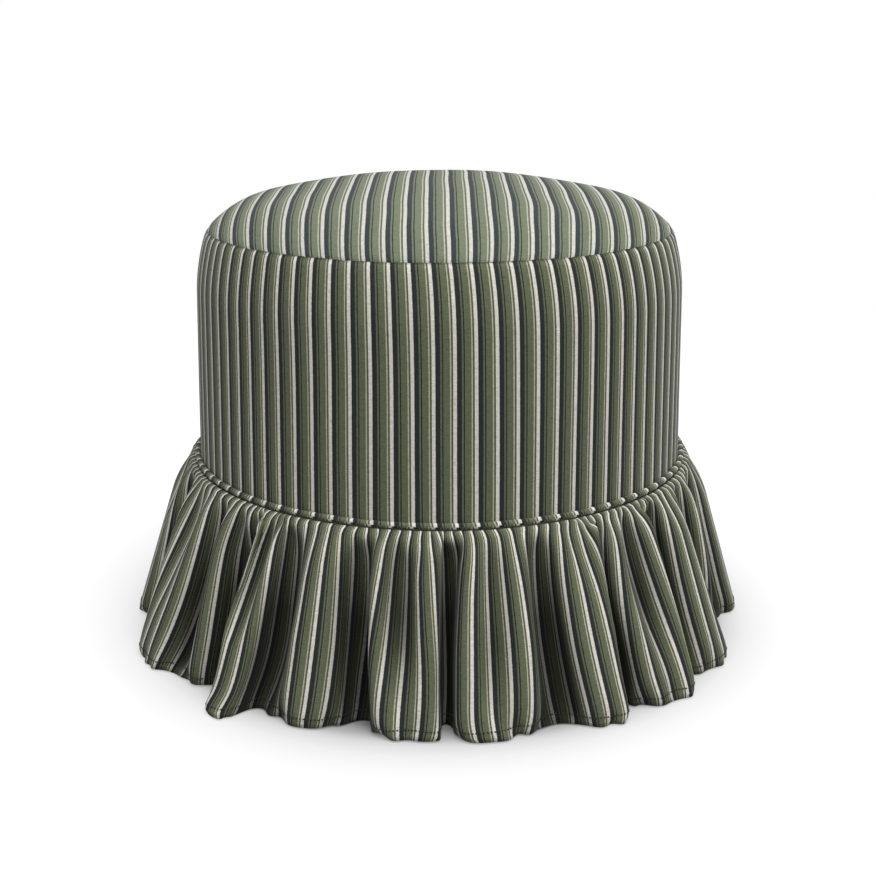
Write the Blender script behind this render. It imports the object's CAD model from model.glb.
import bmesh
import bpy
import math
import numpy as np
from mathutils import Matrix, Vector, noise


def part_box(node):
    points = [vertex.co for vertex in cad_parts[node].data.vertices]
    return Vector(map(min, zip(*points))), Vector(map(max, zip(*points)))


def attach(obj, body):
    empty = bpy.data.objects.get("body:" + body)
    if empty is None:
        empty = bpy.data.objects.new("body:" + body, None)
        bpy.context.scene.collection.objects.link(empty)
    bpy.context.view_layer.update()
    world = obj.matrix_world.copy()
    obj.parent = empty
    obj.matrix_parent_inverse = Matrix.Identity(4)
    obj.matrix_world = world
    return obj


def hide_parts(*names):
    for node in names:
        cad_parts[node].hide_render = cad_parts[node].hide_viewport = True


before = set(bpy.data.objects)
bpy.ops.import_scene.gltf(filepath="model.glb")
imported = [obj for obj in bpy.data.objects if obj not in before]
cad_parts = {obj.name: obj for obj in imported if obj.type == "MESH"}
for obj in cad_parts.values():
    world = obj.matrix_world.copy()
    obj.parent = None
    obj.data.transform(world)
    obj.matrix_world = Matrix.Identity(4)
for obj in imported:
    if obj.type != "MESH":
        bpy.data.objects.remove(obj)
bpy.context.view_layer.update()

MM = 0.001

# Plywood rings: three notched hoops of birch plywood, cut on a router and left raw.
# The veneers show as thin light and dark lines along every cut edge.


def colour(hex_code):
    """Linear colour of an sRGB hex value."""
    shares = [int(hex_code[i:i + 2], 16) / 255 for i in (0, 2, 4)]
    return [s / 12.92 if s <= 0.04045 else ((s + 0.055) / 1.055) ** 2.4 for s in shares] + [1.0]


def add(tree, kind, settings=None, links=None):
    """Adds one node with its properties, input values, ramp stops and links."""
    made = tree.nodes.new("ShaderNode" + kind)
    for name, value in (settings or {}).items():
        if name == "stops":
            ramp = made.color_ramp
            while len(ramp.elements) < len(value):
                ramp.elements.new(1.0)
            for element, (place, hex_code) in zip(ramp.elements, value):
                element.position = place
                element.color = colour(hex_code)
        elif isinstance(name, str) and hasattr(made, name):
            setattr(made, name, value)
        else:
            made.inputs[name].default_value = value
    for name, source in (links or {}).items():
        tree.links.new(source, made.inputs[name])
    return made


def material(name, roughness, **sockets):
    """A new material and its tree, with constant values on the shader's own sockets."""
    made = bpy.data.materials.new(name)
    made.use_nodes = True
    shader = made.node_tree.nodes["Principled BSDF"]
    shader.inputs["Roughness"].default_value = roughness
    for socket, value in sockets.items():
        shader.inputs[socket.replace("_", " ")].default_value = value
    return made, made.node_tree, shader


def dress(finish, *names):
    """Gives CAD nodes one finish."""
    for name in names:
        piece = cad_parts[name]
        piece.data.materials.clear()
        piece.data.materials.append(finish)


def numbered(stem, count):
    """The names stem_1, stem_2 and so on."""
    return ["%s_%d" % (stem, number) for number in range(1, count + 1)]


veneer = 1.5 * MM
plywood, tree, shader = material("birch_plywood", 0.7, Specular_IOR_Level=0.3)
place = add(tree, "TexCoord")
along = add(tree, "Mapping", {"Scale": (6.0, 90.0, 90.0)}, {"Vector": place.outputs["Object"]})
grain = add(tree, "TexNoise", {"Scale": 1.0, "Detail": 5.0}, {"Vector": along.outputs["Vector"]})
height = add(tree, "SeparateXYZ", {}, {"Vector": place.outputs["Object"]})
layers = add(tree, "Math", {"operation": "MULTIPLY", 1: 0.5 / veneer}, {0: height.outputs["Z"]})
layer = add(tree, "Math", {"operation": "FRACT"}, {0: layers.outputs[0]})
edge_stops = [(0.0, "d9bd8e"), (0.5, "b98f5c"), (0.56, "a97f4f"), (1.0, "dcc196")]
edge = add(tree, "ValToRGB", {"stops": edge_stops}, {"Fac": layer.outputs[0]})
face = add(tree, "ValToRGB", {"stops": [(0.3, "c79f6b"), (0.7, "e2c99d")]}, {"Fac": grain.outputs["Fac"]})
blend = add(tree, "MixRGB", {"blend_type": "MULTIPLY", "Fac": 0.6},
            {"Color1": face.outputs["Color"], "Color2": edge.outputs["Color"]})
bump = add(tree, "Bump", {"Strength": 0.2, "Distance": 0.3 * MM}, {"Height": grain.outputs["Fac"]})
tree.links.new(blend.outputs["Color"], shader.inputs["Base Color"])
tree.links.new(bump.outputs["Normal"], shader.inputs["Normal"])
dress(plywood, "base_ring", "skirt_rail", "deck_ring")

# Posts: six planed softwood uprights let into the rims of the rings.
# Growth rings run up each post as soft amber lines.
softwood, tree, shader = material("planed_pine", 0.6, Specular_IOR_Level=0.35)
place = add(tree, "TexCoord")
along = add(tree, "Mapping", {"Scale": (220.0, 220.0, 9.0)}, {"Vector": place.outputs["Object"]})
grain = add(tree, "TexNoise", {"Scale": 1.0, "Detail": 6.0, "Distortion": 0.6},
            {"Vector": along.outputs["Vector"]})
tone = add(tree, "ValToRGB", {"stops": [(0.32, "a9793f"), (0.5, "d9b479"), (0.72, "ecd3a4")]},
           {"Fac": grain.outputs["Fac"]})
bump = add(tree, "Bump", {"Strength": 0.15, "Distance": 0.2 * MM}, {"Height": grain.outputs["Fac"]})
tree.links.new(tone.outputs["Color"], shader.inputs["Base Color"])
tree.links.new(bump.outputs["Normal"], shader.inputs["Normal"])
dress(softwood, *numbered("upright", 6))

# Screws, hanger bolts, tee nuts and staples: zinc-plated steel wire and bar.
# Plating gives a grey metal with a slight cloudiness.
zinc, tree, shader = material("zinc_plated_steel", 0.35, Metallic=1.0)
place = add(tree, "TexCoord")
cloud = add(tree, "TexNoise", {"Scale": 400.0, "Detail": 3.0}, {"Vector": place.outputs["Object"]})
tone = add(tree, "ValToRGB", {"stops": [(0.3, "9a9da0"), (0.7, "c3c6c8")]}, {"Fac": cloud.outputs["Fac"]})
gloss = add(tree, "MapRange", {"To Min": 0.28, "To Max": 0.48}, {"Value": cloud.outputs["Fac"]})
tree.links.new(tone.outputs["Color"], shader.inputs["Base Color"])
tree.links.new(gloss.outputs["Result"], shader.inputs["Roughness"])
dress(zinc, "frame_screws", "hanger_bolts", "tee_nuts", "webbing_staples", "dust_cover_staples")

# Wall: one sheet of hardboard bent round the frame, its ends meeting at the back.
# Pressed fibre is brown with short pale flecks.
hardboard, tree, shader = material("pressed_hardboard", 0.55, Specular_IOR_Level=0.35)
place = add(tree, "TexCoord")
fleck = add(tree, "TexNoise", {"Scale": 700.0, "Detail": 4.0, "Roughness": 0.7},
            {"Vector": place.outputs["Object"]})
tone = add(tree, "ValToRGB", {"stops": [(0.35, "4f351f"), (0.6, "6e4c2d"), (0.75, "a07a50")]},
           {"Fac": fleck.outputs["Fac"]})
bump = add(tree, "Bump", {"Strength": 0.2, "Distance": 0.2 * MM}, {"Height": fleck.outputs["Fac"]})
tree.links.new(tone.outputs["Color"], shader.inputs["Base Color"])
tree.links.new(bump.outputs["Normal"], shader.inputs["Normal"])
dress(hardboard, "drum_wall")

# Webbing: jute straps stapled over the deck ring, each woven over and under the others.
# Coarse yarns cross in a plain weave, drawn at their real pitch of about 2 mm.
yarn_pitch = 2.0 * MM
jute, tree, shader = material("woven_jute", 0.9, Specular_IOR_Level=0.2, Sheen_Weight=0.2)
place = add(tree, "TexCoord")
axis = add(tree, "SeparateXYZ", {}, {"Vector": place.outputs["Object"]})
turn_x = add(tree, "Math", {"operation": "MULTIPLY", 1: math.pi / yarn_pitch}, {0: axis.outputs["X"]})
turn_y = add(tree, "Math", {"operation": "MULTIPLY", 1: math.pi / yarn_pitch}, {0: axis.outputs["Y"]})
wave_x = add(tree, "Math", {"operation": "SINE"}, {0: turn_x.outputs[0]})
wave_y = add(tree, "Math", {"operation": "SINE"}, {0: turn_y.outputs[0]})
weave = add(tree, "Math", {"operation": "MULTIPLY"}, {0: wave_x.outputs[0], 1: wave_y.outputs[0]})
lift = add(tree, "MapRange", {"From Min": -1.0, "From Max": 1.0}, {"Value": weave.outputs[0]})
tone = add(tree, "ValToRGB", {"stops": [(0.1, "6b5231"), (0.55, "a4834f"), (0.95, "c8a873")]},
           {"Fac": lift.outputs["Result"]})
bump = add(tree, "Bump", {"Strength": 0.6, "Distance": 0.5 * MM}, {"Height": lift.outputs["Result"]})
tree.links.new(tone.outputs["Color"], shader.inputs["Base Color"])
tree.links.new(bump.outputs["Normal"], shader.inputs["Normal"])
dress(jute, *numbered("webbing_lengthwise", 3), *numbered("webbing_crosswise", 3))

# Deck cloth: a disc of burlap laid over the webbing under the foam.
# It is one flat sheet with a faint sag between the straps.


def round_sheet(radius, cells):
    """A grid drawn out to a disc, as (bmesh, list of (vertex, x, y)) with x and y in metres."""
    bm = bmesh.new()
    bm.verts.layers.float.new("crease")
    bmesh.ops.create_grid(bm, x_segments=cells, y_segments=cells, size=1.0)
    spots = []
    for vert in bm.verts:
        x, y = vert.co.x, vert.co.y
        spots.append((vert, radius * x * math.sqrt(1 - y * y / 2), radius * y * math.sqrt(1 - x * x / 2)))
    return bm, spots


def piece_from(bm, name, finish):
    """A finished object, smooth shaded, at the origin."""
    mesh = bpy.data.meshes.new(name)
    bm.to_mesh(mesh)
    bm.free()
    mesh.materials.append(finish)
    for polygon in mesh.polygons:
        polygon.use_smooth = True
    made = bpy.data.objects.new(name, mesh)
    bpy.context.scene.collection.objects.link(made)
    return made


def thicken(piece, thickness, offset=-1.0):
    """Gives a sheet its thickness, on its inner side unless the offset says otherwise."""
    shell = piece.modifiers.new("thickness", "SOLIDIFY")
    shell.thickness = thickness
    shell.offset = offset


def lump(x, y, z, pitch):
    """Smooth unevenness between -1 and 1, about one pitch from hump to hump."""
    return noise.noise(Vector((x, y, z)) / pitch)


deck_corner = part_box("deck_cloth")[1]
deck_radius = deck_corner.x
deck_cells = 48
deck_sag, strap_pitch = 0.2 * MM, 70 * MM
burlap_thickness = 0.4 * MM
bm, spots = round_sheet(deck_radius, deck_cells)
for vert, x, y in spots:
    vert.co = (x, y, deck_corner.z - deck_sag * (1 + lump(x, y, 0.0, strap_pitch)))
deck_cloth = piece_from(bm, "deck_burlap", jute)
thicken(deck_cloth, burlap_thickness)
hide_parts("deck_cloth")
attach(deck_cloth, "root")

# Foam, wadding and wall padding: the crowned seat block, the soft layer over it and the
# layer round the wall.  Cut foam is cream with open cells; wadding is white and fibrous.


def soft_finish(name, dark, pale, cell, depth):
    """A matt finish of cells and fibres, with the cells' size and the depth of their relief."""
    made, tree, shader = material(name, 0.95, Specular_IOR_Level=0.15)
    place = add(tree, "TexCoord")
    cells = add(tree, "TexVoronoi", {"Scale": 1 / cell}, {"Vector": place.outputs["Object"]})
    fibre = add(tree, "TexNoise", {"Scale": 0.5 / cell, "Detail": 5.0}, {"Vector": place.outputs["Object"]})
    mixed = add(tree, "Math", {"operation": "MULTIPLY"},
                {0: cells.outputs["Distance"], 1: fibre.outputs["Fac"]})
    tone = add(tree, "ValToRGB", {"stops": [(0.0, dark), (0.5, pale)]}, {"Fac": mixed.outputs[0]})
    bump = add(tree, "Bump", {"Strength": 0.5, "Distance": depth}, {"Height": mixed.outputs[0]})
    tree.links.new(tone.outputs["Color"], shader.inputs["Base Color"])
    tree.links.new(bump.outputs["Normal"], shader.inputs["Normal"])
    return made


def close_up(bm):
    """Joins points that meet and turns every face outward."""
    bmesh.ops.remove_doubles(bm, verts=bm.verts, dist=0.01 * MM)
    bmesh.ops.recalc_face_normals(bm, faces=bm.faces)


def spun(name, outline, finish):
    """A closed form turned from an outline of (radius, height) points that starts and ends
    on the axis or meets itself."""
    turn_steps = 96
    unevenness, hump = 0.15 * MM, 40 * MM
    bm = bmesh.new()
    corners = [bm.verts.new((radius, 0.0, height)) for radius, height in outline]
    edges = [bm.edges.new(pair) for pair in zip(corners, corners[1:])]
    bmesh.ops.spin(bm, geom=corners + edges, cent=(0, 0, 0), axis=(0, 0, 1), angle=2 * math.pi,
                   steps=turn_steps, use_merge=True)
    close_up(bm)
    for vert in bm.verts:
        vert.co.z += unevenness * lump(vert.co.x, vert.co.y, vert.co.z, hump)
    return piece_from(bm, name, finish)


drum_radius = 238.0 * MM
seam_radius, seam_height = 221.9 * MM, 380.3 * MM
shoulder_radius, shoulder_height = 233.0 * MM, 322.0 * MM
skirt_line = 163.5 * MM
hem_turn = 40.0 * MM
underside = 48.5 * MM
lean = (drum_radius - shoulder_radius) / (shoulder_height - skirt_line)
shoulder_rise = seam_height - shoulder_height
curl = (shoulder_radius - lean * shoulder_rise - seam_radius) / shoulder_rise ** 2
visible_run = hem_turn + seam_height - underside


def band_outline(run):
    """Radius and height on the band, run metres up from its tacked edge."""
    if run < hem_turn:
        return drum_radius - hem_turn + run, underside
    height = min(underside + run - hem_turn, seam_height)
    if height < skirt_line:
        return drum_radius, height
    if height < shoulder_height:
        return drum_radius - lean * (height - skirt_line), height
    above = height - shoulder_height
    return shoulder_radius - lean * above - curl * above ** 2, height


def band_radius(height):
    """Radius of the band at a height on the drum."""
    return band_outline(hem_turn + height - underside)[0]


crown_radius, crown_reach = 783.0 * MM, 169.65 * MM
crown_top = 429.1 * MM
edge_start = math.asin(crown_reach / crown_radius)
edge_radius = 100.2 * MM
edge_end = math.radians(47.65)
crown_run = crown_radius * edge_start
panel_radius = crown_run + edge_radius * (edge_end - edge_start)


def panel_outline(run):
    """Radius, height and slope on the panel, run metres out from its middle."""
    if run < crown_run:
        slope = run / crown_radius
        return crown_radius * math.sin(slope), crown_top - crown_radius * (1 - math.cos(slope)), slope
    slope = edge_start + (run - crown_run) / edge_radius
    radius = crown_reach + edge_radius * (math.sin(slope) - math.sin(edge_start))
    crown_drop = crown_radius * (1 - math.cos(edge_start))
    edge_drop = edge_radius * (math.cos(edge_start) - math.cos(slope))
    return radius, crown_top - crown_drop - edge_drop, slope


def seat_outline(inset, base):
    """Outline inside the covers from the middle of the crown down to the base height."""
    crown_steps, side_steps = 14, 5
    points = []
    for step in range(crown_steps + 1):
        radius, height, slope = panel_outline(panel_radius * step / crown_steps)
        points.append((radius - inset * math.sin(slope), height - inset * math.cos(slope)))
    top = seam_height - 6 * MM
    for step in range(1, side_steps + 1):
        height = top + (base - top) * step / side_steps
        points.append((band_radius(height) - inset, height))
    return points


foam_finish = soft_finish("cut_foam", "c9b98a", "f0e6c4", cell=1.5 * MM, depth=0.6 * MM)
wadding_finish = soft_finish("polyester_wadding", "cfcfcb", "f6f6f2", cell=6 * MM, depth=1.0 * MM)
cover_inset, wadding_inset, foam_inset = 3.6 * MM, 10.4 * MM, 11.0 * MM

seat_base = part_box("seat_foam")[0].z
foam = spun("seat_foam_block", seat_outline(foam_inset, seat_base) + [(0.0, seat_base)], foam_finish)
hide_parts("seat_foam")
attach(foam, "root")

wadding_shape = seat_outline(cover_inset, seat_base) + seat_outline(wadding_inset, seat_base)[::-1]
wadding = spun("seat_wadding", wadding_shape, wadding_finish)
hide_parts("seat_batting")
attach(wadding, "root")

low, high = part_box("side_padding")
wall_gap = 1 * MM
wall_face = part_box("drum_wall")[1].x + wall_gap
pad_heights = (low.z, 0.1, 0.163, 0.24, 0.32, high.z)
pad_shape = [(wall_face, low.z)]
pad_shape += [(band_radius(height) - cover_inset, height) for height in pad_heights]
pad_shape += [(wall_face, high.z), (wall_face, low.z)]
padding = spun("wall_wadding", pad_shape, wadding_finish)
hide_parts("side_padding")
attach(padding, "root")

# Side band: one width of striped cloth drawn tight round the padded wall, turned under the
# base at the bottom and sewn to the top panel.  Its stripes stand upright.
repeat = 17.8 * MM
stripe_stops = [(0.0, "e5e3da"), (0.17, "313432"), (0.4, "676c59"), (0.485, "2b2f24"), (0.54, "6a7057"),
                (0.85, "b8bba5"), (0.912, "625f46")]


def striped_cloth(name, stops):
    """Yarn-dyed linen with one repeat of stripes across the U of its map."""
    striped, tree, shader = material(name, 0.88, Specular_IOR_Level=0.12, Sheen_Weight=0.1,
                                     Sheen_Roughness=0.4)
    place = add(tree, "TexCoord")
    wander = add(tree, "TexNoise", {"Scale": 900.0, "Detail": 2.0}, {"Vector": place.outputs["UV"]})
    axis = add(tree, "SeparateXYZ", {}, {"Vector": place.outputs["UV"]})
    sway = add(tree, "MapRange", {"To Min": -0.45 * MM, "To Max": 0.45 * MM},
               {"Value": wander.outputs["Fac"]})
    across = add(tree, "Math", {"operation": "ADD"}, {0: axis.outputs["X"], 1: sway.outputs["Result"]})
    turns = add(tree, "Math", {"operation": "DIVIDE", 1: repeat}, {0: across.outputs[0]})
    phase = add(tree, "Math", {"operation": "FRACT"}, {0: turns.outputs[0]})
    stripes = add(tree, "ValToRGB", {"stops": stops}, {"Fac": phase.outputs[0]})
    stripes.color_ramp.interpolation = "CONSTANT"
    slub_space = add(tree, "Mapping", {"Scale": (180.0, 1500.0, 1.0)}, {"Vector": place.outputs["UV"]})
    slub = add(tree, "TexNoise", {"Scale": 1.0, "Detail": 3.0, "Roughness": 0.65},
               {"Vector": slub_space.outputs["Vector"]})
    warp_space = add(tree, "Mapping", {"Scale": (1900.0, 160.0, 1.0)}, {"Vector": place.outputs["UV"]})
    warp = add(tree, "TexNoise", {"Scale": 1.0, "Detail": 2.0}, {"Vector": warp_space.outputs["Vector"]})
    yarns = add(tree, "Math", {"operation": "MULTIPLY_ADD", 1: 0.35},
                {0: warp.outputs["Fac"], 2: slub.outputs["Fac"]})
    shade = add(tree, "ValToRGB", {"stops": [(0.42, "9c9c9c"), (0.66, "dadada"), (0.95, "ffffff")]},
                {"Fac": yarns.outputs[0]})
    cloth_tone = add(tree, "MixRGB", {"blend_type": "MULTIPLY", "Fac": 0.85},
                     {"Color1": stripes.outputs["Color"], "Color2": shade.outputs["Color"]})
    bump = add(tree, "Bump", {"Strength": 0.35, "Distance": 0.35 * MM}, {"Height": yarns.outputs[0]})
    fold = add(tree, "Attribute", {"attribute_name": "crease"})
    dusk = add(tree, "MapRange", {"From Min": 0.22, "From Max": 0.95, "To Min": 1.0, "To Max": 0.16},
               {"Value": fold.outputs["Fac"]})
    cloth_shade = add(tree, "MixRGB", {"blend_type": "MULTIPLY", "Fac": 1.0},
                      {"Color1": cloth_tone.outputs["Color"], "Color2": dusk.outputs["Result"]})
    tree.links.new(cloth_shade.outputs["Color"], shader.inputs["Base Color"])
    tree.links.new(bump.outputs["Normal"], shader.inputs["Normal"])
    return striped


striped = striped_cloth("striped_linen", stripe_stops)


def wrapped_sheet(columns, rows):
    """A grid as (bmesh, list of (vertex, share across, share along))."""
    bm = bmesh.new()
    bm.verts.layers.float.new("crease")
    bmesh.ops.create_grid(bm, x_segments=columns, y_segments=rows, size=0.5)
    return bm, [(vert, vert.co.x + 0.5, vert.co.y + 0.5) for vert in bm.verts]


def lay_pattern(bm, flat_place, creases):
    """Stores each vertex's place on the flat cloth, in metres, as the UV map, and how deep it
    lies in a fold or seam, from 0 to 1."""
    depths = bm.verts.layers.float["crease"]
    for vert, share in creases.items():
        vert[depths] = share
    layer = bm.loops.layers.uv.new("cloth")
    for face in bm.faces:
        for loop in face.loops:
            loop[layer].uv = flat_place[loop.vert]


def polar(angle, radius, height):
    """A point at an angle from the front, positive to the right as seen from there."""
    return Vector((radius * math.sin(angle), -radius * math.cos(angle), height))


def ring_lump(angle, level, pitch):
    """Unevenness round the drum, its pitch as a share of the radius."""
    return lump(math.cos(angle), math.sin(angle), level, pitch)


cloth_thickness = 1.0 * MM
tuck, tuck_fade = 2.4 * MM, 2.2 * MM
seam_shade = 1.4 * MM
band_columns, band_rows, row_ease = 360, 96, 1.25
band_pucker, band_fade = 0.5 * MM, 26 * MM
band_softness, band_drift = 0.7 * MM, 1.2 * MM
stripe_lean, lean_fade = 4.4 * MM, 34 * MM
band_start = 6.4 * MM
bm, spots = wrapped_sheet(band_columns, band_rows)
flat_place = {}
creases = {}
for vert, across, along in spots:
    angle = (across - 0.5) * 2 * math.pi
    run = visible_run * (1 - (1 - along) ** row_ease)
    radius, height = band_outline(run)
    below_seam = visible_run - run
    pucker = band_pucker * ring_lump(angle, 0.0, 0.035) * math.exp(-below_seam / band_fade)
    soft = band_softness * lump(3 * math.cos(angle), 3 * math.sin(angle), 6 * height, 1.0)
    if height > skirt_line:
        radius += pucker + soft - tuck * math.exp(-below_seam / tuck_fade)
    vert.co = polar(angle, radius, height)
    drift = band_drift * lump(4 * math.cos(angle), 4 * math.sin(angle), 5 * height + 3, 1.0)
    drift += stripe_lean * math.exp(-below_seam / lean_fade)
    flat_place[vert] = (angle * drum_radius + band_start + drift, run)
    creases[vert] = math.exp(-below_seam / seam_shade)
lay_pattern(bm, flat_place, creases)
close_up(bm)
side_band = piece_from(bm, "side_band", striped)
thicken(side_band, cloth_thickness)
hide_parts("side_cover")
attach(side_band, "root")

# Top panel: a disc of the same cloth over the crowned seat, its stripes running front to
# back in line with the band's, in slightly paler tones.  The two cloths dip into the plain
# seam between them.
top_stops = [(0.0, "cdcdc7"), (0.17, "3b4140"), (0.4, "737b69"), (0.485, "32372f"), (0.54, "767e67"),
             (0.85, "b6bbab"), (0.912, "67674f")]
panel_cells = 180
panel_pucker, panel_fade = 0.6 * MM, 20 * MM
panel_softness, soft_pitch = 0.9 * MM, 90 * MM
panel_drift, drift_pitch = 1.6 * MM, 60 * MM
panel_sink = 0.9 * MM
panel_start = 12.2 * MM
bm, spots = round_sheet(panel_radius, panel_cells)
flat_place = {}
creases = {}
for vert, x, y in spots:
    run = min(math.hypot(x, y), panel_radius)
    angle = math.atan2(x, -y)
    radius, height, slope = panel_outline(run)
    inside = panel_radius - run
    pucker = panel_pucker * ring_lump(angle, 2.0, 0.03) * math.exp(-inside / panel_fade)
    soft = panel_softness * lump(x, y, 0.0, soft_pitch)
    lift = pucker + soft - tuck * math.exp(-inside / tuck_fade)
    vert.co = polar(angle, radius + lift * math.sin(slope), height + lift * math.cos(slope) - panel_sink)
    drift = panel_drift * lump(x, y, 0.5, drift_pitch)
    flat_place[vert] = (x + panel_start + drift, y)
    creases[vert] = math.exp(-inside / seam_shade)
lay_pattern(bm, flat_place, creases)
bmesh.ops.recalc_face_normals(bm, faces=bm.faces)
top_panel = piece_from(bm, "top_panel", striped_cloth("striped_linen_top", top_stops))
thicken(top_panel, cloth_thickness)
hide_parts("top_cover")
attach(top_panel, "root")

# Welt: cotton cord in a sleeve of the striped cloth, sewn on round the drum at the head of
# the skirt.  The sleeve is a little puffy between stitches.
cord_finish = soft_finish("cotton_cord", "d6cdb8", "f2ece0", cell=0.8 * MM, depth=0.3 * MM)
dress(cord_finish, "welt_cord")
welt_ring = 241.2 * MM
welt_radius = 2.7 * MM
welt_columns, welt_rows = 480, 16
puffiness = 0.10
welt_waver = 0.7 * MM
strip_width, strip_slant, strip_start = 20 * MM, 0.1, 6.0 * MM
sleeve_thickness = 0.5 * MM
bm, spots = wrapped_sheet(welt_columns, welt_rows)
flat_place = {}
for vert, across, along in spots:
    angle = (across - 0.5) * 2 * math.pi
    around = along * 2 * math.pi
    puff = 1 + puffiness * ring_lump(angle, 5.0, 0.045)
    rise = welt_waver * ring_lump(angle, 8.0, 0.25)
    radius = welt_ring + welt_radius * puff * math.cos(around)
    vert.co = polar(angle, radius, skirt_line + rise + welt_radius * puff * math.sin(around))
    slant = strip_slant * (along - 0.5) * strip_width
    flat_place[vert] = (angle * welt_ring + strip_start + slant, along * strip_width)
lay_pattern(bm, flat_place, {})
close_up(bm)
welt = piece_from(bm, "welt_sleeve", striped)
thicken(welt, sleeve_thickness)
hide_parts("welt_cover")
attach(welt, "root")

# Tack strip: thin grey card behind the skirt head.
# Pulp shows as soft grey mottling.
card, tree, shader = material("grey_card", 0.9, Specular_IOR_Level=0.2)
place = add(tree, "TexCoord")
pulp = add(tree, "TexNoise", {"Scale": 350.0, "Detail": 5.0}, {"Vector": place.outputs["Object"]})
tone = add(tree, "ValToRGB", {"stops": [(0.3, "837d72"), (0.7, "aaa498")]}, {"Fac": pulp.outputs["Fac"]})
bump = add(tree, "Bump", {"Strength": 0.15, "Distance": 0.1 * MM}, {"Height": pulp.outputs["Fac"]})
tree.links.new(tone.outputs["Color"], shader.inputs["Base Color"])
tree.links.new(bump.outputs["Normal"], shader.inputs["Normal"])
dress(card, "tack_strip")

# Skirt: striped cloth gathered under the welt, unlined, falling in deep folds that flare to
# the hem.  Each fold stands where the hem list puts it, as (degrees from the front, reach in
# mm).  A net of yarns laid from the welt to the hem is then relaxed until it hangs as cloth.
front_folds = [(-90, 264), (-86, 267), (-82.5, 300), (-79.5, 309), (-76.5, 301), (-74, 288), (-71, 272),
               (-66, 272), (-61.3, 317), (-57.7, 323), (-51.8, 316), (-46.7, 307), (-43.4, 299),
               (-42, 268), (-38.5, 268), (-37.2, 320), (-36.3, 334), (-34.7, 335), (-33.6, 325),
               (-31.5, 304), (-28.6, 305), (-21.8, 310), (-17.7, 302), (-15, 291), (-12.5, 272),
               (-11.2, 270), (-10.6, 301), (-8.4, 307), (-2.6, 313), (-0.3, 309), (0.6, 264),
               (1.8, 262), (2.7, 304), (5.1, 312), (8.4, 315), (14.8, 306), (20, 303), (24.8, 316),
               (26.4, 320), (29.1, 320), (30.8, 308), (31.3, 268), (32.2, 266), (33, 297), (36.7, 317),
               (40.6, 324), (43.5, 322), (46, 308), (46.8, 268), (48.2, 268), (49.2, 301), (51.6, 309),
               (55.6, 315), (59, 311), (61.5, 298), (63, 272), (70, 272), (75.5, 291), (78, 302),
               (82, 301), (85.5, 267)]
back_folds = [(180 - angle, reach) for angle, reach in reversed(front_folds)]
hem_folds = front_folds + [(90, 264)] + back_folds[:-1]
valley_reach = 286
skirt_top = 159.6 * MM
skirt_drop = 172.0 * MM
skirt_thickness = 0.9 * MM
hem_gap = 1.6 * MM
columns, rows = 900, 42
head_radius = 240.9 * MM
head_easing = 90 * MM
gather_pitch, gather_depth = 22 * MM, 3 * MM
fold_pitch, fold_depth = 38 * MM, 22 * MM
swell_depth = 4 * MM


def smooth_loop(points, steps):
    """Centripetal curve through a closed list of points, as equally spaced points and its length."""
    fine = []
    fine_steps = 24
    count = len(points)
    for i in range(count):
        p0, p1, p2, p3 = (points[(i + k - 1) % count] for k in range(4))
        t1 = (p1 - p0).length ** 0.5
        t2 = t1 + (p2 - p1).length ** 0.5
        t3 = t2 + (p3 - p2).length ** 0.5
        for k in range(fine_steps):
            t = t1 + (t2 - t1) * k / fine_steps
            a1 = p0 * ((t1 - t) / t1) + p1 * (t / t1)
            a2 = p1 * ((t2 - t) / (t2 - t1)) + p2 * ((t - t1) / (t2 - t1))
            a3 = p2 * ((t3 - t) / (t3 - t2)) + p3 * ((t - t2) / (t3 - t2))
            b1 = a1 * ((t2 - t) / t2) + a2 * (t / t2)
            b2 = a2 * ((t3 - t) / (t3 - t1)) + a3 * ((t - t1) / (t3 - t1))
            fine.append(b1 * ((t2 - t) / (t2 - t1)) + b2 * ((t - t1) / (t2 - t1)))
    fine.append(fine[0])
    runs = [0.0]
    for here, there in zip(fine, fine[1:]):
        runs.append(runs[-1] + (there - here).length)
    spaced = []
    spot = 0
    for step in range(steps):
        goal = runs[-1] * step / steps
        while runs[spot + 1] < goal:
            spot += 1
        share = (goal - runs[spot]) / (runs[spot + 1] - runs[spot])
        spaced.append(fine[spot].lerp(fine[spot + 1], share))
    return spaced, runs[-1]


hem_points = []
for angle, reach in hem_folds:
    hem_points.append(polar(math.radians(angle), max(reach, valley_reach) * MM, hem_gap))
hem, hem_length = smooth_loop(hem_points, columns)
hem_angles = []
for point in hem:
    angle = math.atan2(point.x, -point.y)
    while hem_angles and angle < hem_angles[-1] - math.pi:
        angle += 2 * math.pi
    hem_angles.append(angle)
window = int(head_easing / hem_length * columns)
weights = [1 + math.cos(math.pi * k / (window + 1)) for k in range(-window, window + 1)]
head_angles = []
for i in range(columns):
    total = 0.0
    for k in range(-window, window + 1):
        turns = (i + k) // columns
        total += weights[k + window] * (hem_angles[(i + k) % columns] + turns * 2 * math.pi)
    head_angles.append(total / sum(weights))


def wobble(angle, waves, level=0.0):
    """Unevenness round the skirt, between -1 and 1."""
    ring = Vector((math.cos(angle), math.sin(angle), 0.0))
    return noise.noise(ring * waves + Vector((0, 0, level)))


def crimp(i):
    """Small folds between the broad ones, as a share in or out from -2 to 2."""
    angle = hem_angles[i]
    turns = hem_length * i / columns / fold_pitch + 1.3 * wobble(angle, 7.0, 3.0)
    return math.cos(2 * math.pi * turns) * (1 + wobble(angle, 11.0))


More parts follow.
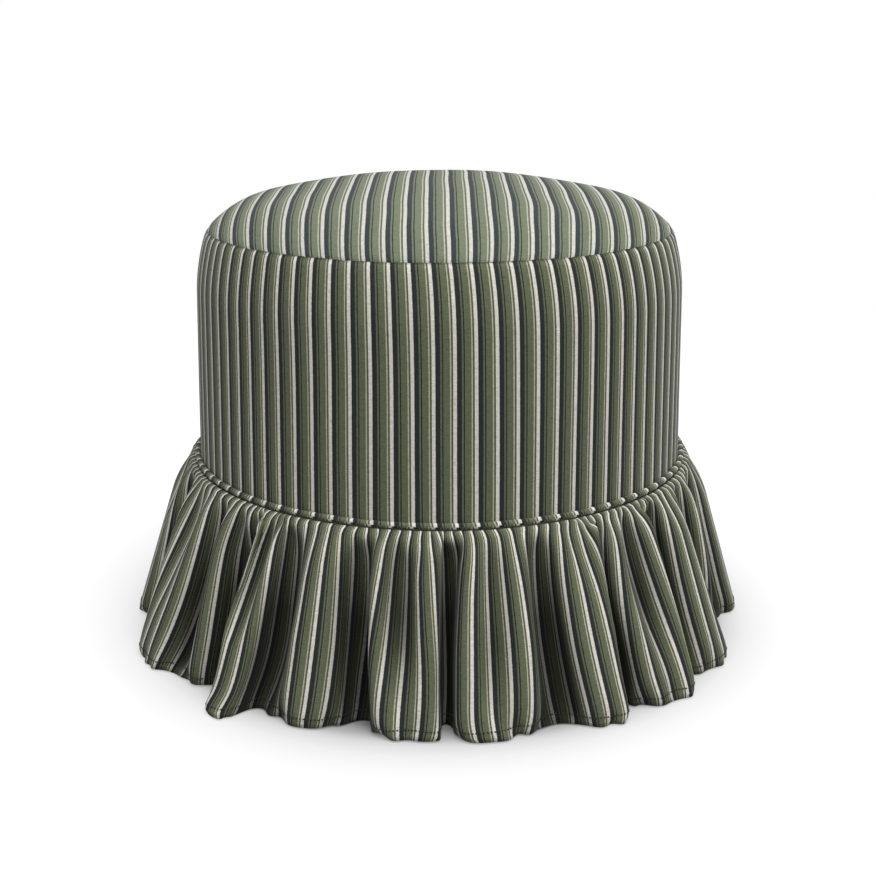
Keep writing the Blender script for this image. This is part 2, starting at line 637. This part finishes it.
def skirt_column(i):
    """First lay of one yarn from the welt to the hem, with the start of its gathers and folds."""
    angle = head_angles[i]
    run = hem_length * i / columns
    gather = math.cos(2 * math.pi * (run / gather_pitch + 1.6 * wobble(angle, 9.0)))
    gather *= 1 + 0.7 * wobble(angle, 14.0, 7.0)
    fold = crimp(i)
    head = polar(angle, head_radius, skirt_top)
    outward = polar(angle, 1.0, 0.0)
    points = []
    for j in range(rows + 1):
        v = j / rows
        swell = swell_depth * math.sin(math.pi * v) ** 0.5
        ripple = gather_depth * gather * min(1.0, 8 * v) * (1 - v) ** 2 + fold_depth * fold * v * (1 - v)
        points.append(head.lerp(hem[i], v) + outward * (swell + ripple))
    return points


def draw(here, there, rest):
    """Moves two sets of points along the lines between them until they are a rest length apart."""
    gap = there - here
    length = np.linalg.norm(gap, axis=-1, keepdims=True)
    gap *= 0.5 * (1 - rest / length)
    here += gap
    there -= gap


def part(here, there):
    """Turns neighbouring points apart round the axis where one has passed the other."""
    least_turn = 0.0004
    cross = here[..., 0] * there[..., 1] - here[..., 1] * there[..., 0]
    scale = np.linalg.norm(here[..., :2], axis=-1) * np.linalg.norm(there[..., :2], axis=-1)
    turn = 0.5 * np.maximum(0.0, least_turn - cross / scale)
    for points, angle in ((here, -turn), (there, turn)):
        x, y = points[..., 0].copy(), points[..., 1].copy()
        points[..., 0] = x - angle * y
        points[..., 1] = y + angle * x


def stiffen_across(net, span, share):
    """Eases bends round the skirt that are tighter than a few spans of columns."""
    bend = np.roll(net, span, 1) + np.roll(net, -span, 1) - 2 * net
    net[1:] -= share * (np.roll(bend, span, 1) + np.roll(bend, -span, 1) - 2 * bend)[1:]


def stiffen_down(net, share):
    """Eases tight bends between the head and the hem."""
    bend = net[:-2] + net[2:] - 2 * net[1:-1]
    net[2:-2] -= share * (bend[:-2] + bend[2:] - 2 * bend[1:-1])


def nearby(values, span, axis):
    """The values moved along an axis by every count of columns up to a span either way."""
    return [np.roll(values, k, axis) for k in range(-span, span + 1)]


hem_fold, hem_draw = 2.4 * MM, 1.5 * MM
fullness = 1.22
spread_depths, spreads = (0.0, 0.3, 0.6, 1.0), (0.7, 1.06, 1.24, fullness)
yarn_slack = 1.006
inner_gap, inner_depth = 1 * MM, 0.05
outer_gap, outer_depth, outer_inset = 12 * MM, 0.06, 11 * MM
fold_span, crest_span = 14, 8
head_roll = np.array([(3.4, 0.6), (6.7, -0.8), (9.0, -4.0)]) * MM
bunching = 0.25
drop_share = 0.8
relax_turns = 360
momentum, weight, hem_hold = 0.86, 0.001 * MM, 0.1
net = np.array([skirt_column(i) for i in range(columns)]).transpose(1, 0, 2).copy()
head_row, hem_row = net[0].copy(), net[-1].copy()
shift = np.array([hem_fold * crimp(i) - hem_draw for i in range(columns)])
hem_row[:, :2] *= 1 + (shift / np.linalg.norm(hem_row[:, :2], axis=1))[:, None]
depth = np.linspace(0.0, 1.0, rows + 1)[:, None, None]
spread = np.interp(depth, spread_depths, spreads)
rest_across = (spread * hem_length / columns)[1:]
rest_down = (yarn_slack * np.linalg.norm(hem_row - head_row, axis=1) / rows)[None, :, None]
inner = head_radius + inner_gap * np.minimum(1.0, depth / inner_depth)
ridge = np.max(nearby(np.linalg.norm(hem_row[:, :2], axis=1), fold_span, 0), axis=0)
ridge = np.mean(nearby(ridge, fold_span, 0), axis=0)[None, :, None]
outer = head_radius + outer_gap * np.minimum(1.0, depth / outer_depth)
outer = outer + (ridge - head_radius - outer_inset) * depth
bunch = np.linalg.norm(net[len(head_roll), :, :2], axis=1)
bunch = bunch - bunch.mean()
bunch = 1 + bunching * bunch / np.abs(bunch).max()
lowest = hem_gap + drop_share * (skirt_top - hem_gap) * (1 - depth[..., 0])
before = net.copy()
for _ in range(relax_turns):
    moved = net + momentum * (net - before)
    before = net
    net = moved
    net[1:-1, :, 2] -= weight
    for parity in (0, 1):
        near = net[1:, parity::2]
        far = np.roll(net[1:, 1 - parity::2], -parity, 1)
        draw(near, far, rest_across)
        part(near, far)
        net[1:, 1 - parity::2] = np.roll(far, parity, 1)
        tops = net[parity:-1:2]
        lows = net[parity + 1::2][:len(tops)]
        draw(tops, lows, rest_down)
    stiffen_across(net, span=1, share=0.05)
    stiffen_across(net, span=2, share=0.009)
    stiffen_down(net, share=0.03)
    reach = np.linalg.norm(net[..., :2], axis=-1, keepdims=True)
    net[..., :2] *= np.clip(reach, inner, outer) / reach
    net[..., 2] = np.maximum(net[..., 2], lowest)
    net[0] = head_row
    for j, (out, up) in enumerate(head_roll, 1):
        net[j, :, :2] *= ((head_radius + out * bunch) / np.linalg.norm(net[j, :, :2], axis=1))[:, None]
        net[j, :, 2] = skirt_top + up
    net[-1] += hem_hold * (hem_row - net[-1])
    net[-1, :, 2] = hem_gap
skirt_columns = [[Vector(net[j, i]) for j in range(rows + 1)] for i in range(columns)]
skirt_columns.append(skirt_columns[0])
least_crease = 0.13
full_crease_head, full_crease_gain = 9 * MM, 16 * MM
head_crease, free_depth = 0.5, 0.55
down = depth[..., 0]
reach = np.linalg.norm(net[..., :2], axis=-1)
crest = np.max(nearby(reach, fold_span, 1), axis=0)
crest = np.mean(nearby(crest, crest_span, 1), axis=0)
crease = least_crease + (crest - reach) / (full_crease_head + full_crease_gain * down)
crease = np.clip(crease, 0.0, 1.0)
crease *= head_crease + (1 - head_crease) * np.minimum(1.0, down / free_depth)
crease[0] = 1.0
skirt_width, skirt_start = fullness * hem_length, 4 * MM
bm, spots = wrapped_sheet(columns, rows)
flat_place = {}
creases = {}
for vert, across, along in spots:
    i, j = round(across * columns), round((1 - along) * rows)
    vert.co = skirt_columns[i][j]
    flat_place[vert] = (skirt_width * across + skirt_start, along * skirt_drop)
    creases[vert] = float(crease[j][i % columns])
lay_pattern(bm, flat_place, creases)
close_up(bm)
skirt = piece_from(bm, "gathered_skirt", striped)
thicken(skirt, skirt_thickness)
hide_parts("skirt_front", "skirt_back")
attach(skirt, "root")

# Hem stitches: a row of dark topstitching about 8 mm above the lower edge.
# Each stitch is one small rounded bar lying on the cloth.
thread, tree, shader = material("sewing_thread", 0.6, Specular_IOR_Level=0.3)
place = add(tree, "TexCoord")
twist = add(tree, "TexNoise", {"Scale": 3000.0, "Detail": 2.0}, {"Vector": place.outputs["Object"]})
tone = add(tree, "ValToRGB", {"stops": [(0.3, "171815"), (0.7, "2b2c28")]}, {"Fac": twist.outputs["Fac"]})
tree.links.new(tone.outputs["Color"], shader.inputs["Base Color"])
stitch_row = rows - 2
stitch_lift, stitch_reach, stitch_radius = 0.15 * MM, 1.15 * MM, 0.65 * MM
bm = bmesh.new()
for i in range(columns):
    start, end = skirt_columns[i][stitch_row], skirt_columns[i + 1][stitch_row]
    above = skirt_columns[i][stitch_row - 1]
    along_cloth = (end - start).normalized()
    out = along_cloth.cross((above - start).normalized()).normalized()
    if out.dot(Vector((start.x, start.y, 0.0))) < 0:
        out = -out
    made = bmesh.ops.create_icosphere(bm, subdivisions=1, radius=1.0)["verts"]
    middle = (start + end) / 2 + out * stitch_lift
    rise = along_cloth.cross(out)
    for vert in made:
        local = vert.co.copy()
        round_part = (out * local.y + rise * local.z) * stitch_radius
        vert.co = middle + along_cloth * local.x * stitch_reach + round_part
stitches = piece_from(bm, "hem_stitches", thread)
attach(stitches, "root")

# Underlining: black spun cloth stapled under the base, cut round the feet.
# It hangs very slightly between the staples.
spunbond, tree, shader = material("black_spunbond", 0.85, Specular_IOR_Level=0.25)
place = add(tree, "TexCoord")
bond = add(tree, "TexVoronoi", {"Scale": 900.0}, {"Vector": place.outputs["Object"]})
fibre = add(tree, "TexNoise", {"Scale": 250.0, "Detail": 6.0}, {"Vector": place.outputs["Object"]})
mixed = add(tree, "Math", {"operation": "MULTIPLY"},
            {0: bond.outputs["Distance"], 1: fibre.outputs["Fac"]})
tone = add(tree, "ValToRGB", {"stops": [(0.0, "101010"), (0.5, "2c2c2d")]}, {"Fac": mixed.outputs[0]})
bump = add(tree, "Bump", {"Strength": 0.3, "Distance": 0.15 * MM}, {"Height": mixed.outputs[0]})
tree.links.new(tone.outputs["Color"], shader.inputs["Base Color"])
tree.links.new(bump.outputs["Normal"], shader.inputs["Normal"])
lining_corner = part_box("dust_cover")[1]
lining_radius = lining_corner.x
lining_height = lining_corner.z - 0.4 * MM
lining_cells = 110
lining_hang, hang_pitch, stapled_rim = 0.5 * MM, 60 * MM, 0.125
lining_thickness = 0.3 * MM
foot_places = []
for name in numbered("foot", 4):
    foot_low, foot_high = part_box(name)
    foot_places.append((foot_low + foot_high) / 2)
hole = 25.0 * MM
bm, spots = round_sheet(lining_radius, lining_cells)
for vert, x, y in spots:
    rim = 1 - math.hypot(x, y) / lining_radius
    hang = lining_hang * min(1.0, rim / stapled_rim) * (1 + lump(x, y, 0.0, hang_pitch))
    vert.co = (x, y, lining_height - hang)
for spot in foot_places:
    cut = [face for face in bm.faces if (face.calc_center_median().xy - spot.xy).length < hole]
    bmesh.ops.delete(bm, geom=cut, context="FACES")
    for vert in bm.verts:
        away = vert.co.xy - spot.xy
        if vert.is_boundary and away.length < 1.5 * hole:
            vert.co.xy = spot.xy + away.normalized() * hole
bmesh.ops.recalc_face_normals(bm, faces=bm.faces)
lining = piece_from(bm, "underlining", spunbond)
thicken(lining, lining_thickness, offset=0.0)
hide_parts("dust_cover")
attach(lining, "root")

# Feet and glides: four turned hardwood feet under the base with nail-on glides.
# The wood is stained dark, the glides are grey plastic.
stained, tree, shader = material("stained_beech", 0.42, Specular_IOR_Level=0.45, Coat_Weight=0.25,
                                 Coat_Roughness=0.25)
place = add(tree, "TexCoord")
along = add(tree, "Mapping", {"Scale": (260.0, 260.0, 22.0)}, {"Vector": place.outputs["Object"]})
grain = add(tree, "TexNoise", {"Scale": 1.0, "Detail": 6.0, "Distortion": 0.4},
            {"Vector": along.outputs["Vector"]})
tone = add(tree, "ValToRGB", {"stops": [(0.35, "2a170c"), (0.6, "4a2c18"), (0.78, "63402a")]},
           {"Fac": grain.outputs["Fac"]})
bump = add(tree, "Bump", {"Strength": 0.1, "Distance": 0.15 * MM}, {"Height": grain.outputs["Fac"]})
tree.links.new(tone.outputs["Color"], shader.inputs["Base Color"])
tree.links.new(bump.outputs["Normal"], shader.inputs["Normal"])
dress(stained, *numbered("foot", 4))
glide, tree, shader = material("glide_plastic", 0.45, Specular_IOR_Level=0.5)
place = add(tree, "TexCoord")
scuff = add(tree, "TexNoise", {"Scale": 500.0, "Detail": 3.0}, {"Vector": place.outputs["Object"]})
tone = add(tree, "ValToRGB", {"stops": [(0.3, "5a5a5a"), (0.7, "777777")]}, {"Fac": scuff.outputs["Fac"]})
tree.links.new(tone.outputs["Color"], shader.inputs["Base Color"])
dress(glide, "foot_glides")

# Floor, light and camera: a pale floor, a large soft light overhead, a fill from the right
# and the camera at the photo's view.  The floor glows for the camera outside a round patch
# under the skirt, where its soft shadow stays.
floor_half = 1.3
shadow_shift = (0.0, 0.026, 0.0)
shadow_near, shadow_far = 0.254, 0.434
glow_stops = [(0.04, "000000"), (0.12, "707070"), (0.18, "a8a8a8"), (0.22, "b6b6b6"), (0.29, "c6c6c6"),
              (0.38, "d0d0d0"), (0.5, "d8d8d8"), (1.0, "e8e8e8")]
floor_finish, tree, shader = material("studio_floor", 0.95, Specular_IOR_Level=0.05)
place = add(tree, "TexCoord")
mottle = add(tree, "TexNoise", {"Scale": 3.0, "Detail": 2.0}, {"Vector": place.outputs["Object"]})
centred = add(tree, "Mapping", {"Location": shadow_shift}, {"Vector": place.outputs["Object"]})
away = add(tree, "VectorMath", {"operation": "LENGTH"}, {0: centred.outputs["Vector"]})
span = add(tree, "MapRange", {"From Min": shadow_near, "From Max": shadow_far},
           {"Value": away.outputs["Value"]})
tone = add(tree, "MixRGB", {"blend_type": "MULTIPLY", "Fac": 0.04, "Color1": colour("8c8c8c")},
           {"Color2": mottle.outputs["Fac"]})
tree.links.new(tone.outputs["Color"], shader.inputs["Base Color"])
shader.inputs["Emission Color"].default_value = (1.0, 1.0, 1.0, 1.0)
ray = add(tree, "LightPath")
clear = add(tree, "ValToRGB", {"stops": glow_stops}, {"Fac": span.outputs["Result"]})
glow = add(tree, "Math", {"operation": "MULTIPLY"},
           {0: ray.outputs["Is Camera Ray"], 1: clear.outputs["Color"]})
tree.links.new(glow.outputs[0], shader.inputs["Emission Strength"])
bm = bmesh.new()
bmesh.ops.create_grid(bm, x_segments=8, y_segments=8, size=floor_half)
floor = piece_from(bm, "floor", floor_finish)

world = bpy.data.worlds.new("studio")
bpy.context.scene.world = world
world.use_nodes = True
tree = world.node_tree
sky = tree.nodes["Background"]
sky.inputs["Strength"].default_value = 1.0
place = add(tree, "TexCoord")
height = add(tree, "SeparateXYZ", {}, {"Vector": place.outputs["Generated"]})
dome = add(tree, "ValToRGB", {"stops": [(0.0, "bcbcbd"), (0.9, "e2e2e4")]}, {"Fac": height.outputs["Z"]})
ray = add(tree, "LightPath")
sky_tone = add(tree, "MixRGB", {"Color2": (1.0, 1.0, 1.0, 1.0)},
               {"Fac": ray.outputs["Is Camera Ray"], "Color1": dome.outputs["Color"]})
tree.links.new(sky_tone.outputs["Color"], sky.inputs["Color"])


def soft_light(name, place, aim, size, power):
    """A round area light, its size in metres and its power in watts."""
    lamp = bpy.data.lights.new(name, "AREA")
    lamp.shape = "DISK"
    lamp.size = size
    lamp.energy = power
    made = bpy.data.objects.new(name, lamp)
    made.location = place
    made.rotation_euler = (Vector(aim) - Vector(place)).to_track_quat("-Z", "Y").to_euler()
    bpy.context.scene.collection.objects.link(made)


soft_light("overhead", place=(0.3, -0.9, 2.3), aim=(0, 0, 0.2), size=1.5, power=43.5)
soft_light("right_fill", place=(2.2, -1.8, 1.0), aim=(0, 0, 0.2), size=1.2, power=7.0)

focal_pixels, photo_pixels, sensor = 1254, 880, 36
look_down = 17.64
lens = bpy.data.cameras.new("photo_view")
lens.lens = focal_pixels / photo_pixels * sensor
lens.sensor_width = sensor
camera = bpy.data.objects.new("photo_view", lens)
camera.location = (-0.00145, -1.2134, 0.5481)
camera.rotation_euler = (math.radians(90 - look_down), 0, 0)
bpy.context.scene.collection.objects.link(camera)
bpy.context.scene.camera = camera
bpy.context.scene.view_settings.view_transform = "Standard"
